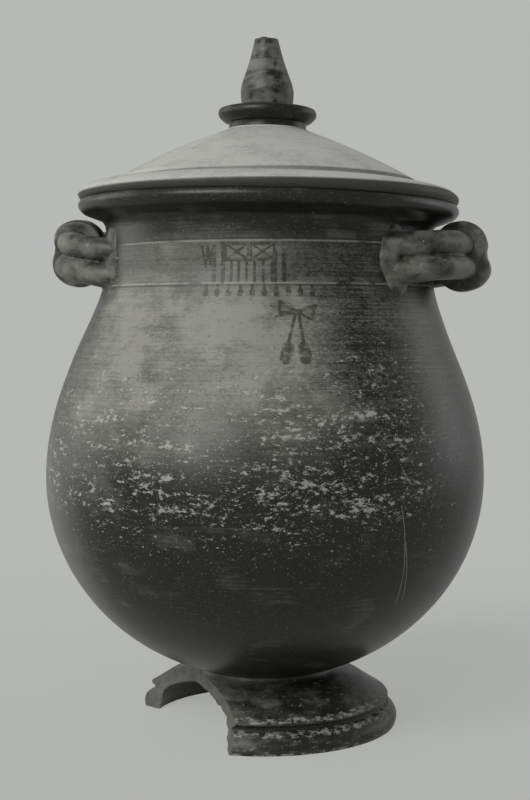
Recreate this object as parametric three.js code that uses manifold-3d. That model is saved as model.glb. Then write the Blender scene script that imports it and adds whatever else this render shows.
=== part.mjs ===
// A lidded pot of thrown and luted clay: a bellied body on a hollow foot, two tied double-roll
// handles on the shoulder, and a domed lid with a knob. Millimetres, +Z up. The pot stands on
// z = 0 with its axis on Z and its handles along X. Angles are in degrees from +X, seen from above.
import * as THREE from 'three';
import { mergeVertices } from 'three/addons/utils/BufferGeometryUtils.js';
import Module from 'manifold-3d';

const wasm = await Module();
wasm.setup();

// Facets round the thrown pieces
const potSides = 44;
const knobSides = 24;

// Seam of slip between two luted pieces, and the play of the lid on the rim
const seam = 0.3;
const lidPlay = 0.3;

// Body
const wall = 9;
const floorThickness = 10;
const bellyRadius = 144;
const bellyHeight = 164;
const bellyDepth = 133;
const bellyPull = 60;
const neckRadius = 106.6;
const neckStart = 300;
const neckPull = 32;

// Rim
const rimRadius = 124.6;
const rimTop = 341.2;
const rimEdge = 8.4;
const rimRound = 3.6;
const rimHollow = 5;
const rimSlope = 0.36;
const mouthBevel = 1.6;

// Foot
const stemRadius = 46.5;
const stemBore = 36;
const stemFillet = 8;
const shoulderRadius = 65;
const shoulderHeight = 29.6;
const ridgeRadius = 81.6;
const ridgeHeight = 19;
const ridgeRound = 2.4;
const grooveDepth = 2.2;
const grooveHeight = 12.6;
const baseRadius = 86.8;
const baseRoll = 2.6;
const baseInner = 75;
const hollowShoulder = 72.4;
const hollowHeight = 12;
const vaultRadius = 46;
const vaultHeight = 25;

// Broken sector of the foot in plan, as [radius, angle at the base, angle at the top]
const breakApex = [45.3, -162, -162];
const nearFracture = [
  [49, -113, -130],
  [55, -106, -115],
  [65, -100, -101],
  [75, -96.5, -93],
  [87, -92.5, -83],
  [104, -86, -78],
];
const farFracture = [
  [61, 181, 180],
  [75, 176.5, 173],
  [88.5, 173, 170.5],
  [106, 169.5, 169],
];
const breakBeyond = [
  [150, -170, -170],
  [150, -120, -120],
];
const breakTop = 37;

// Lid
const brimRadius = 125.4;
const brimThickness = 8.8;
const brimRise = 4;
const brimRound = 6;
const domeRadius = 97.6;
const domeFoot = 357;
const domeTop = 390.6;
const domeSwell = 1.8;
const lidGroove = 2.6;
const lidWall = 8;
const flangePlay = 2;
const flangeThickness = 6.5;
const flangeDepth = 10;

// Knob
const collarRadius = 25.4;
const collarHeight = 3.4;
const discRadius = 32.1;
const discThickness = 9;
const discTopRise = 2.4;
const finialBase = 16.2;
const finialBulge = 17.4;
const finialBulgeAt = 9;
const finialWaist = 12;
const finialWaistAt = 25;
const finialTip = 7.2;
const finialLength = 43;
const finialSpare = 3; // what stood above the break
const finialBreakTilt = 3;

// Handles: two rolls, one over the other, bent out from the neck and tied at the middle
const rollThickness = 17.6;
const rollHeight = 15.7;
const rightReach = 126.5;
const leftReach = 131.5;
const handleSpread = 57;
const handleSquareness = 2.6;
const handleHeight = 306;
const handleRise = 7;
const leftTwist = 4; // the left handle was set with its rear end a little higher
const rollStart = 80;
const rollSides = 10;
const rollSteps = 24;
const tieWidth = 15;
const tieThickness = 7;
const tieSwell = 1.4;
const tieRound = 3;
const waistAngle = 22;
const padThickness = 9;
const padWidth = 13.5;
const padHeight = 25;

const rad = THREE.MathUtils.degToRad;

// Finishes
function finish(color, roughness) {
  return new THREE.MeshStandardMaterial({ color, roughness, metalness: 0, flatShading: true });
}
const darkGlaze = finish(0x2a2923, 0.35);
const wornGlaze = finish(0x3d3b33, 0.45);
const paleGlaze = finish(0x9b9c92, 0.55);

// Points of several curves laid end to end, each curve with its own number of steps.
function chain(...runs) {
  const points = [];
  for (const [curve, steps] of runs) {
    for (const point of curve.getPoints(steps)) {
      const last = points[points.length - 1];
      if (!last || last.distanceTo(point) > 1e-6) points.push(point);
    }
  }
  return points;
}

const at = (x, y) => new THREE.Vector2(x, y);
const line = (a, b) => [new THREE.LineCurve(a, b), 1];
const bend = (a, b, c, steps) => [new THREE.QuadraticBezierCurve(a, b, c), steps];

// A solid of revolution from an outline of (radius, height) points.
function turned(points, sides) {
  return new THREE.LatheGeometry(points, sides).rotateX(Math.PI / 2);
}

// Closed geometry to a solid that can be joined and cut, and back.
function solid(geometry) {
  geometry.deleteAttribute('normal');
  geometry.deleteAttribute('uv');
  const merged = mergeVertices(geometry, 1e-4);
  const mesh = new wasm.Mesh({
    numProp: 3,
    vertProperties: new Float32Array(merged.attributes.position.array),
    triVerts: new Uint32Array(merged.index.array),
  });
  return new wasm.Manifold(mesh);
}

function geometryOf(manifold) {
  const mesh = manifold.getMesh();
  const geometry = new THREE.BufferGeometry();
  geometry.setAttribute('position', new THREE.BufferAttribute(mesh.vertProperties, 3));
  geometry.setIndex(new THREE.BufferAttribute(mesh.triVerts, 1));
  geometry.computeVertexNormals();
  return geometry;
}

// Height of the belly's underside at a radius from the axis.
function undersideAt(radius) {
  return bellyHeight - bellyDepth * Math.sqrt(1 - (radius / bellyRadius) ** 2);
}

// The belly below its widest point, and the shoulder from there up to the neck.
function bellyCurve(inset, floorInset, steps) {
  const arc = [0, bellyHeight, bellyRadius - inset, bellyDepth - floorInset, -Math.PI / 2, 0];
  return [new THREE.EllipseCurve(...arc), steps];
}

function shoulderCurve(inset, steps) {
  const belly = bellyRadius - inset;
  const neck = neckRadius - inset;
  const pulls = [at(belly, bellyHeight + bellyPull), at(neck, neckStart - neckPull)];
  return [new THREE.CubicBezierCurve(at(belly, bellyHeight), ...pulls, at(neck, neckStart)), steps];
}

// Outside of the body from the axis underneath up to the rim's top edge.
function outside(grow) {
  const edgeFoot = at(rimRadius - rimRound + grow, rimTop - rimEdge);
  const ledge = rimRadius - rimRound - neckRadius - rimHollow;
  const hollowEnd = at(neckRadius + rimHollow + grow, edgeFoot.y - ledge * rimSlope);
  const hollowFoot = at(neckRadius + grow, hollowEnd.y - rimHollow * 1.8);
  return chain(
    bellyCurve(-grow, -grow, 10),
    shoulderCurve(-grow, 7),
    line(at(neckRadius + grow, neckStart), hollowFoot),
    bend(hollowFoot, at(neckRadius + grow, hollowEnd.y - rimHollow * 0.3), hollowEnd, 3),
    line(hollowEnd, edgeFoot),
    bend(edgeFoot, at(rimRadius + grow + rimRound * 0.6, rimTop - rimEdge * 0.5),
      at(rimRadius - rimRound * 0.5 + grow, rimTop), 4),
  );
}

function body() {
  const mouth = neckRadius - wall;
  const inside = chain(bellyCurve(wall, floorThickness, 8), shoulderCurve(wall, 5),
    line(at(mouth, neckStart), at(mouth, rimTop - mouthBevel)));
  const lip = at(mouth + mouthBevel, rimTop);
  return turned([...outside(0), lip, ...inside.reverse()], potSides);
}

// The body filled up to its axis and grown by a seam, to fit what is luted on to it.
function bodyEnvelope() {
  return solid(turned([...outside(seam), at(0, rimTop)], potSides));
}

// Foot: a hollow stem that flares to a ridge, with a groove between the ridge and the base roll.
function footRing() {
  const seat = (radius) => at(radius, undersideAt(radius) - seam);
  const stemTop = seat(stemRadius);
  const stemFoot = at(stemRadius + stemFillet, shoulderHeight + stemFillet * 0.35);
  const shoulder = at(shoulderRadius, shoulderHeight);
  const ridge = at(ridgeRadius, ridgeHeight);
  const groove = ridgeRadius - grooveDepth;
  const member = at(groove + grooveDepth * 1.3, grooveHeight);
  const bore = seat(stemBore);
  const points = chain(
    line(at(baseInner, 0), at(baseRadius, 0)),
    bend(at(baseRadius, 0), at(baseRadius + baseRoll * 1.4, grooveHeight * 0.6), member, 5),
    line(member, at(groove, grooveHeight + grooveDepth * 0.6)),
    line(at(groove, grooveHeight + grooveDepth * 0.6), at(groove, ridgeHeight - ridgeRound * 1.4)),
    bend(at(groove, ridgeHeight - ridgeRound * 1.4), at(ridgeRadius + ridgeRound * 0.8,
      ridgeHeight - ridgeRound), ridge, 3),
    bend(ridge, at(ridgeRadius - ridgeRound * 3, ridgeHeight + ridgeRound * 1.8), shoulder, 4),
    line(shoulder, stemFoot),
    bend(stemFoot, at(stemRadius, stemFoot.y + ridgeRound * 0.6), stemTop, 3),
    line(stemTop, seat((stemRadius + stemBore) / 2)),
    line(seat((stemRadius + stemBore) / 2), bore),
    bend(bore, at(stemBore, vaultHeight), at(vaultRadius, vaultHeight), 3),
    bend(at(vaultRadius, vaultHeight), at(hollowShoulder - ridgeRound, vaultHeight * 0.72),
      at(hollowShoulder, hollowHeight), 4),
    line(at(hollowShoulder, hollowHeight), at(baseInner, 0)),
  );
  return turned(points, potSides);
}

// The sector that has broken away, as a block between its plan at the base and its plan at the top.
function brokenSector() {
  const plan = [breakApex, ...farFracture, ...breakBeyond, ...[...nearFracture].reverse()];
  const ring = (level, height) => plan.map((point) => {
    const angle = rad(point[level]);
    return new THREE.Vector3(point[0] * Math.cos(angle), point[0] * Math.sin(angle), height);
  });
  const low = ring(1, -1);
  const high = ring(2, breakTop);
  const count = plan.length;
  const faces = [];
  for (let i = 0; i < count; i += 1) {
    const next = (i + 1) % count;
    faces.push(i, next, count + next, i, count + next, count + i);
  }
  for (const [a, b, c] of THREE.ShapeUtils.triangulateShape(low, [])) faces.push(c, b, a);
  for (const [a, b, c] of THREE.ShapeUtils.triangulateShape(high, [])) {
    faces.push(count + a, count + b, count + c);
  }
  const block = new THREE.BufferGeometry().setFromPoints([...low, ...high]);
  block.setIndex(faces);
  return solid(block);
}

function foot() {
  return geometryOf(solid(footRing()).subtract(brokenSector()));
}

// Lid: a dome on a rounded brim, with a flange underneath that drops into the mouth.
function lid() {
  const seat = rimTop + lidPlay;
  const brimTop = seat + brimThickness;
  const step = at(domeRadius + 1, domeFoot - lidGroove);
  const flangeOuter = neckRadius - wall - flangePlay;
  const flangeInner = flangeOuter - flangeThickness;
  const underDome = domeFoot - lidWall + (domeRadius - flangeInner) * 0.5;
  const top = at(collarRadius + 1.6, domeTop - 1);
  const swell = at((domeRadius + top.x) / 2 + domeSwell * 2, (domeFoot + top.y) / 2 + domeSwell);
  return turned(chain(
    line(at(0, domeTop - lidWall), at(collarRadius, domeTop - lidWall)),
    bend(at(collarRadius, domeTop - lidWall), at(swell.x, swell.y - lidWall - 1.5),
      at(flangeInner, underDome), 4),
    line(at(flangeInner, underDome), at(flangeInner, seat - flangeDepth)),
    line(at(flangeInner, seat - flangeDepth), at(flangeOuter - 0.8, seat - flangeDepth)),
    line(at(flangeOuter - 0.8, seat - flangeDepth), at(flangeOuter, seat)),
    line(at(flangeOuter, seat), at(brimRadius - brimRound * 0.5, seat)),
    bend(at(brimRadius - brimRound * 0.5, seat), at(brimRadius + brimRound * 0.35,
      seat + brimThickness * 0.55), at(brimRadius - brimRound, brimTop), 5),
    bend(at(brimRadius - brimRound, brimTop), at((brimRadius + domeRadius) / 2, brimTop + brimRise * 0.8),
      step, 3),
    line(step, at(domeRadius, domeFoot)),
    bend(at(domeRadius, domeFoot), swell, top, 7),
    line(top, at(collarRadius + 0.6, domeTop)),
    line(at(collarRadius + 0.6, domeTop), at(0, domeTop)),
  ), potSides);
}

// Knob: a collar that flares to a thick rounded disc, and a bud-shaped finial above it.
function knobDisc() {
  const foot = domeTop + seam;
  const under = at(discRadius - 2, foot + collarHeight + 2.4);
  const top = foot + collarHeight + discThickness;
  const crown = at(finialBulge + 0.4, top + discTopRise);
  return turned(chain(
    line(at(0, foot), at(collarRadius, foot)),
    line(at(collarRadius, foot), at(collarRadius, foot + collarHeight)),
    line(at(collarRadius, foot + collarHeight), under),
    bend(under, at(discRadius + 1.2, (under.y + top) / 2), at(discRadius - 0.8, top), 5),
    bend(at(discRadius - 0.8, top), at(discRadius - 4, top + discTopRise * 0.7), crown, 3),
    line(crown, at(0, crown.y)),
  ), knobSides);
}

function knobFinial() {
  const foot = domeTop + seam * 2 + collarHeight + discThickness + discTopRise;
  const tip = at(finialTip, foot + finialLength + finialSpare);
  const side = new THREE.SplineCurve([
    at(finialBase, foot),
    at(finialBulge, foot + finialBulgeAt),
    at(finialWaist, foot + finialWaistAt),
    tip,
  ]);
  const outline = chain(line(at(0, foot), at(finialBase, foot)), [side, 9], line(tip, at(0, tip.y)));
  const bud = solid(turned(outline, knobSides));
  const reach = finialBulge * 3;
  const lost = new THREE.BoxGeometry(reach, reach, reach).translate(0, 0, reach / 2);
  lost.rotateY(rad(finialBreakTilt)).translate(0, 0, foot + finialLength);
  return geometryOf(bud.subtract(solid(lost)));
}

// The bent line that a handle roll follows in plan: a squared half ellipse out from the neck.
class HandleBend extends THREE.Curve {
  constructor(reach) {
    super();
    this.reach = reach;
  }

  getPoint(t, target = new THREE.Vector3()) {
    const angle = (t - 0.5) * Math.PI;
    const power = 2 / handleSquareness;
    const out = Math.max(Math.cos(angle), 0) ** power;
    const along = Math.sign(angle) * Math.abs(Math.sin(angle)) ** power;
    return target.set(rollStart + (this.reach - rollStart) * out, handleSpread * along, 0);
  }
}

// Puts a piece made in the plane of its handle at its place on the shoulder.
function placed(geometry, handle) {
  geometry.translate(-neckRadius, 0, 0).rotateX(rad(handle.twist)).rotateY(-rad(handleRise));
  return geometry.translate(neckRadius, 0, handleHeight).rotateZ(rad(handle.turn));
}

function rollSolid(handle, level, grow) {
  const section = new THREE.Shape();
  section.absellipse(0, 0, rollHeight / 2 + grow, rollThickness / 2 + grow, 0, Math.PI * 2);
  const rounded = new THREE.Shape(section.getSpacedPoints(rollSides).slice(0, rollSides));
  const roll = new THREE.ExtrudeGeometry(rounded, {
    steps: rollSteps,
    extrudePath: new HandleBend(handle.reach),
  });
  const lift = level * (rollHeight + seam) / 2;
  return solid(placed(roll.translate(0, 0, lift), handle));
}

// Tie: a band of clay wrapped round both rolls, drawn in at the waist between them.
function tieSolid(handle) {
  const lobe = (rollHeight + seam) / 2;
  const radii = [rollThickness / 2 + tieThickness + tieSwell, rollHeight / 2 + tieThickness];
  const waist = rad(waistAngle);
  const band = new THREE.Shape();
  band.absellipse(0, lobe, ...radii, -waist, Math.PI + waist);
  band.absellipse(0, -lobe, ...radii, Math.PI - waist, Math.PI * 2 + waist);
  const block = new THREE.ExtrudeGeometry(band, {
    depth: tieWidth - 2 * tieRound,
    curveSegments: 7,
    bevelThickness: tieRound,
    bevelSize: tieRound,
    bevelOffset: -tieRound,
    bevelSegments: 2,
  });
  block.translate(0, 0, tieRound - tieWidth / 2).rotateX(Math.PI / 2).translate(handle.reach, 0, 0);
  return solid(placed(block, handle));
}

// Pad: clay smeared round the root of a handle where it meets the neck.
function padSolid(handle, side) {
  const root = Math.asin(handleSpread / neckRadius) * side;
  const pad = new THREE.SphereGeometry(1, 12, 8).rotateX(Math.PI / 2);
  pad.scale(padThickness, padWidth, padHeight).translate(neckRadius - 1, 0, 0).rotateZ(root);
  return solid(placed(pad, handle));
}

const pot = new THREE.Group();

function add(name, geometry, material) {
  const mesh = new THREE.Mesh(geometry, material.clone());
  mesh.name = name;
  pot.add(mesh);
}

function addHandle(handle) {
  const envelope = bodyEnvelope();
  const levels = { upper_roll: 1, lower_roll: -1 };
  const [upper, lower] = Object.values(levels).map((level) => rollSolid(handle, level, seam));
  const bothRolls = upper.add(lower);
  for (const [roll, level] of Object.entries(levels)) {
    const clay = rollSolid(handle, level, 0).subtract(envelope);
    add(`${handle.name}_${roll}`, geometryOf(clay), wornGlaze);
  }
  add(`${handle.name}_tie_band`, geometryOf(tieSolid(handle).subtract(bothRolls)), wornGlaze);
  for (const [pad, side] of Object.entries(handle.roots)) {
    const clay = padSolid(handle, side).subtract(envelope).subtract(bothRolls);
    add(`${handle.name}_${pad}`, geometryOf(clay), wornGlaze);
  }
}

add('body', body(), darkGlaze);
add('foot', foot(), wornGlaze);
addHandle({
  name: 'right',
  turn: 0,
  twist: 0,
  reach: rightReach,
  roots: { front_root_pad: -1, rear_root_pad: 1 },
});
addHandle({
  name: 'left',
  turn: 180,
  twist: -leftTwist,
  reach: leftReach,
  roots: { front_root_pad: 1, rear_root_pad: -1 },
});
add('lid', lid(), paleGlaze);
add('knob_disc', knobDisc(), darkGlaze);
add('knob_finial', knobFinial(), darkGlaze);

export default pot;
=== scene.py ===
import math

import bmesh
import bpy
from mathutils import Matrix, Vector, noise


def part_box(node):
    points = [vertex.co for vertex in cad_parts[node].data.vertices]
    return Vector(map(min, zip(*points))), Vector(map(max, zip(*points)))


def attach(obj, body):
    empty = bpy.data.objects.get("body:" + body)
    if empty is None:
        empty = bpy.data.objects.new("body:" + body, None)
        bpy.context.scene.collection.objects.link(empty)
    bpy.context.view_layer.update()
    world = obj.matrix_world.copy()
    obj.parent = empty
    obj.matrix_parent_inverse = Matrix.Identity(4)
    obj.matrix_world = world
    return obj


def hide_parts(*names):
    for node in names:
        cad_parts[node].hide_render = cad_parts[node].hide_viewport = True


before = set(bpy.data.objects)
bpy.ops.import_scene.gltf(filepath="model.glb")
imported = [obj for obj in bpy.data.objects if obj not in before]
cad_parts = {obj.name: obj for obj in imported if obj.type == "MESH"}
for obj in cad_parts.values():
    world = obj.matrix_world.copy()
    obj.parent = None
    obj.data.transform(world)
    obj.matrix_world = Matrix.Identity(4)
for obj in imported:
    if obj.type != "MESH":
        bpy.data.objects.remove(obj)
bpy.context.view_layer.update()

# A lidded pot of dark glazed clay: a thrown body on a broken hollow foot, two tied double-roll
# handles on its shoulder, and a pale domed lid with a knob. Lengths in metres, +Z up.

bl_info = {
    "name": "Lidded pot",
    "version": (1, 0, 0),
    "blender": (4, 5, 0),
    "location": "View3D > Sidebar > Pot",
    "description": "Makes a lidded clay pot and its plain stage",
    "category": "Add Mesh",
}

BODY_LOW, BODY_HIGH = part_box("body")
LID_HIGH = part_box("lid")[1]
DISC_LOW, DISC_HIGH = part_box("knob_disc")
FINIAL_LOW, FINIAL_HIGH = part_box("knob_finial")
MM = 0.001
TINY = 1e-6
SAME_POINT = 1e-7
GLOSS = 0.3
BELLY_HEIGHT = 164 * MM
# The view comes from the front, turned a little round the pot
VIEW_TURN = math.radians(12)
FRONT = VIEW_TURN - math.pi / 2
TO_RIGHT = Vector((math.cos(VIEW_TURN), math.sin(VIEW_TURN), 0))


def length(name, default, description):
    """A size that can be set"""
    return bpy.props.FloatProperty(name=name, description=description, default=default,
                                   min=0, unit="LENGTH", subtype="DISTANCE")


def colour(name, default, description):
    """A colour that can be set"""
    return bpy.props.FloatVectorProperty(name=name, description=description, default=default,
                                         size=3, min=0, max=1, subtype="COLOR")


class PotSizes(bpy.types.PropertyGroup):
    """Sizes of the pot"""
    wall: length("Wall", 9 * MM, "Thickness of the thrown wall")
    belly_radius: length("Belly radius", BODY_HIGH.x, "Radius of the body at its widest")
    belly_height: length("Belly height", BELLY_HEIGHT, "Height of the widest part")
    belly_depth: length("Belly depth", BELLY_HEIGHT - BODY_LOW.z, "From the widest part to the underside")
    neck_radius: length("Neck radius", 106.6 * MM, "Outer radius of the neck")
    neck_start: length("Neck start", 300 * MM, "Height at which the shoulder ends in the neck")
    rim_radius: length("Rim radius", 124.6 * MM, "Outer radius of the rim")
    rim_edge: length("Rim edge", 8.4 * MM, "Height of the rim's rounded edge")
    rim_top: length("Rim top", BODY_HIGH.z, "Height of the rim's top")
    stem_radius: length("Stem radius", 46.5 * MM, "Radius of the foot where it meets the body")
    shoulder_radius: length("Foot shoulder", 65 * MM, "Radius of the foot's shoulder")
    shoulder_height: length("Foot shoulder height", 29.6 * MM, "Height of the foot's shoulder")
    ridge_radius: length("Ridge radius", 81.6 * MM, "Radius of the foot's ridge")
    ridge_height: length("Ridge height", 19 * MM, "Height of the foot's ridge")
    groove_height: length("Groove height", 12.6 * MM, "Height of the groove under the ridge")
    base_radius: length("Base radius", 86.8 * MM, "Radius of the foot on the floor")
    base_inner: length("Base inner radius", 75 * MM, "Inner radius of the resting ring")
    roll_thickness: length("Roll thickness", 17.6 * MM, "Thickness of a handle roll, outwards")
    roll_height: length("Roll height", 15.7 * MM, "Height of a handle roll")
    handle_height: length("Handle height", 306 * MM, "Height of the middle of the handles")
    handle_spread: length("Handle spread", 57 * MM, "Half the width of a handle")
    tie_width: length("Tie width", 15 * MM, "Width of the band that ties two rolls")
    brim_radius: length("Brim radius", 125.4 * MM, "Outer radius of the lid")
    dome_radius: length("Dome radius", 97.6 * MM, "Radius of the lid's dome at its foot")
    dome_foot: length("Dome foot", 357 * MM, "Height of the dome's foot")


class PotColours(bpy.types.PropertyGroup):
    """Colours of the pot and its stage"""
    glaze: colour("Dark glaze", (0.011, 0.0105, 0.0085), "Thick glaze")
    thin_glaze: colour("Thin glaze", (0.13, 0.13, 0.112), "Glaze rubbed thin over the clay")
    clay: colour("Clay", (0.47, 0.47, 0.42), "Clay where the glaze has flaked")
    lid_clay: colour("Lid clay", (0.42, 0.425, 0.39), "Pale clay of the lid")
    stage: colour("Stage", (0.52, 0.53, 0.51), "Floor and backdrop")


class Value:
    """A number on its way through a material's nodes"""

    def __init__(self, socket):
        self.socket = socket

    def math(self, operation, *others, swap=False, clamp=False):
        """The result of one Math node"""
        node = self.socket.id_data.nodes.new("ShaderNodeMath")
        node.operation = operation
        node.use_clamp = clamp
        values = [self, *others]
        if swap:
            values.reverse()
        for index, value in enumerate(values):
            if isinstance(value, Value):
                self.socket.id_data.links.new(value.socket, node.inputs[index])
            else:
                node.inputs[index].default_value = value
        return Value(node.outputs[0])

    def __add__(self, other):
        return self.math("ADD", other)

    __radd__ = __add__

    def __sub__(self, other):
        return self.math("SUBTRACT", other)

    def __rsub__(self, other):
        return self.math("SUBTRACT", other, swap=True)

    def __mul__(self, other):
        return self.math("MULTIPLY", other)

    __rmul__ = __mul__

    def __truediv__(self, other):
        return self.math("DIVIDE", other)

    def __pow__(self, other):
        return self.math("POWER", other)

    def __neg__(self):
        return self.math("MULTIPLY", -1)

    def __abs__(self):
        return self.math("ABSOLUTE")

    def top(self, other):
        """The greater of the two"""
        return self.math("MAXIMUM", other)

    def low(self, other):
        """The lesser of the two"""
        return self.math("MINIMUM", other)

    def held(self):
        """Kept between 0 and 1"""
        return self.math("ADD", 0.0, clamp=True)


class Finish:
    """One procedural material, with the place on the object in millimetres"""

    def __init__(self, name):
        self.material = bpy.data.materials.new(name)
        self.material.use_nodes = True
        self.tree = self.material.node_tree
        self.tree.nodes.clear()
        place = self.node("ShaderNodeTexCoord").outputs["Object"]
        self.place = self.node("ShaderNodeVectorMath", {"operation": "SCALE"},
                               {0: place, "Scale": 1 / MM}).outputs["Vector"]
        parts = self.node("ShaderNodeSeparateXYZ", {}, {0: self.place})
        self.x, self.y, self.z = [Value(output) for output in parts.outputs]

    def node(self, kind, settings=None, sockets=None):
        """A node of that kind, with its settings and the values or links of its sockets"""
        node = self.tree.nodes.new(kind)
        for name, value in (settings or {}).items():
            setattr(node, name, value)
        for name, value in (sockets or {}).items():
            if isinstance(value, Value):
                value = value.socket
            if isinstance(value, bpy.types.NodeSocket):
                self.tree.links.new(value, node.inputs[name])
            else:
                node.inputs[name].default_value = value
        return node

    def turn(self):
        """Angle round the pot from the front, in radians to the right"""
        angle = self.y.math("ARCTAN2", self.x) - FRONT
        return angle.math("WRAP", math.pi, -math.pi)

    def radius(self):
        """Distance from the pot's axis"""
        return (self.x * self.x + self.y * self.y) ** 0.5

    def stretched(self, across, up):
        """The place on the object, drawn out around it"""
        return self.node("ShaderNodeVectorMath", {"operation": "MULTIPLY"},
                         {0: self.place, 1: (1 / across, 1 / across, 1 / up)}).outputs["Vector"]

    def grain(self, across, up, detail=4.0, rough=0.55):
        """Noise from 0 to 1 with grains of that size in millimetres"""
        node = self.node("ShaderNodeTexNoise", {"noise_dimensions": "3D"},
                         {"Vector": self.stretched(across, up), "Scale": 1.0, "Detail": detail,
                          "Roughness": rough})
        return Value(node.outputs[0])

    def step(self, value, low, high):
        """0 below low, 1 above high and smooth between"""
        node = self.node("ShaderNodeMapRange", {"interpolation_type": "SMOOTHSTEP"},
                         {"Value": value, "From Min": low, "From Max": high})
        return Value(node.outputs["Result"])

    def band(self, value, middle, half, soft):
        """1 within half of the middle, falling to 0 over soft"""
        return 1 - self.step(abs(value - middle), half, half + soft)

    def bands(self, value, middles, half, soft):
        """Two bands of the same width"""
        first, second = middles
        return self.band(value, first, half, soft).top(self.band(value, second, half, soft))

    def mix(self, share, first, second):
        """Colour from first to second as share goes from 0 to 1"""
        colours = {}
        for key, value in ((6, first), (7, second)):
            colours[key] = value if isinstance(value, bpy.types.NodeSocket) else (*value, 1.0)
        node = self.node("ShaderNodeMix", {"data_type": "RGBA"}, {0: share, **colours})
        return node.outputs[2]

    def shine(self, base, roughness, relief, depth):
        """The surface itself, with the depth of its relief in millimetres"""
        bump = self.node("ShaderNodeBump", {}, {"Height": relief, "Distance": depth * MM,
                                               "Strength": 1.0})
        surface = self.node("ShaderNodeBsdfPrincipled", {},
                            {"Base Color": base, "Roughness": roughness,
                             "Specular IOR Level": GLOSS, "Normal": bump.outputs["Normal"]})
        self.node("ShaderNodeOutputMaterial", {}, {"Surface": surface.outputs["BSDF"]})
        return self.material


def shade(tone, share):
    """The colour made darker or lighter"""
    return [part * share for part in tone]


def weighed(weights, *values):
    """Sum of the values by their weights"""
    total = weights[0] * values[0]
    for weight, value in zip(weights[1:], values[1:]):
        total = total + weight * value
    return total


# A painted stroke stays full up to its half width and ends a little past it
STROKE_REACH = 1.35
STROKE_EDGE = 3


def stroke(u, z, start, end, half):
    """Mask of a straight stroke from start to end, above 0 where it is painted"""
    run = (end[0] - start[0], end[1] - start[1])
    span = max(run[0] ** 2 + run[1] ** 2, TINY)
    along = (((u - start[0]) * run[0] + (z - start[1]) * run[1]) / span).held()
    du = u - start[0] - along * run[0]
    dz = z - start[1] - along * run[1]
    distance = (du * du + dz * dz) ** 0.5
    return (STROKE_REACH - distance / half).held()


def painted(strokes):
    """Mask of all the strokes together"""
    mask = strokes[0]
    for other in strokes[1:]:
        mask = mask.top(other)
    return (mask * STROKE_EDGE).held()


# Painted ornament in millimetres, as distance round the neck from its middle, height and half width
PANEL_TOP = 310.2
PANEL_BAR = 300.8
PANEL_FOOT = 288.3
SQUARES = ((-23.4, -10.0), (-8.2, 5.3))
SQUARE_HALF = 0.62
CROSS_HALF = 0.55
DOT_HALF = 1.2
RAIL_HALF = 0.8
BARS = (-19.9, -15.5, -10.8, -6.1, -1.0, 4.1)
BAR_HALF = 0.75
THICK_BARS = ((-25.0, PANEL_TOP), (5.8, 306.0), (11.2, 306.0), (-30.5, 309.0))
THICK_BAR_HALF = 1.1
ZIGZAG = ((-38.5, 309), (-36, 297), (-34.5, 309), (-33, 298), (-31.5, 309))
ZIGZAG_HALF = 0.7
DROP_SPACING = 6.85
DROP_COUNT = 10
FIRST_DROP = -34.6
LAST_DROP = FIRST_DROP + DROP_SPACING * (DROP_COUNT - 1)
DROP = (((0, 286), (0, 280.6), 0.8), ((0, 282.4), (0, 280.8), 1.35))
RIBBON = (
    ((17.6, 270.3), (8.2, 276.0), 1.0), ((8.2, 276.0), (8.2, 269.7), 0.8), ((8.2, 269.7), (17.6, 270.3), 1.0),
    ((17.6, 270.3), (28.1, 273.7), 1.0), ((28.1, 273.7), (25.2, 266.2), 0.8),
    ((25.2, 266.2), (17.6, 270.3), 0.8), ((17.6, 270.3), (5.3, 267.3), 0.6),
    ((16.5, 269.0), (10.5, 247.0), 0.8), ((18.5, 269.0), (20.2, 247.0), 0.8),
    ((11.8, 250.0), (10.2, 243.0), 2.6), ((20.0, 250.0), (20.3, 243.0), 2.6),
)


def frieze():
    """Strokes of the crossed squares, their bars and the zigzag"""
    strokes = []
    for left, right in SQUARES:
        corners = [(left, PANEL_BAR), (right, PANEL_BAR), (right, PANEL_TOP), (left, PANEL_TOP)]
        strokes += [(a, b, SQUARE_HALF) for a, b in zip(corners, corners[1:] + corners[:1])]
        strokes += [(corners[0], corners[2], CROSS_HALF), (corners[1], corners[3], CROSS_HALF)]
        middle = ((left + right) / 2, (PANEL_BAR + PANEL_TOP) / 2)
        strokes.append((middle, middle, DOT_HALF))
    strokes.append(((SQUARES[0][0], PANEL_BAR), (SQUARES[1][1], PANEL_BAR), RAIL_HALF))
    strokes += [((bar, PANEL_BAR), (bar, PANEL_FOOT), BAR_HALF) for bar in BARS]
    strokes += [((bar, top), (bar, PANEL_FOOT), THICK_BAR_HALF) for bar, top in THICK_BARS]
    strokes += [(a, b, ZIGZAG_HALF) for a, b in zip(ZIGZAG, ZIGZAG[1:])]
    return strokes


def ornament(u, z):
    """Frieze of crossed squares and bars, drops below it and a tied ribbon"""
    nearest = ((u - FIRST_DROP) / DROP_SPACING).math("ROUND") * DROP_SPACING + FIRST_DROP
    local = u - nearest.top(FIRST_DROP).low(LAST_DROP)
    strokes = [stroke(u, z, *line) for line in frieze()]
    strokes += [stroke(local, z, *line) for line in DROP]
    strokes += [stroke(u, z, *line) for line in RIBBON]
    return painted(strokes)


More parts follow.
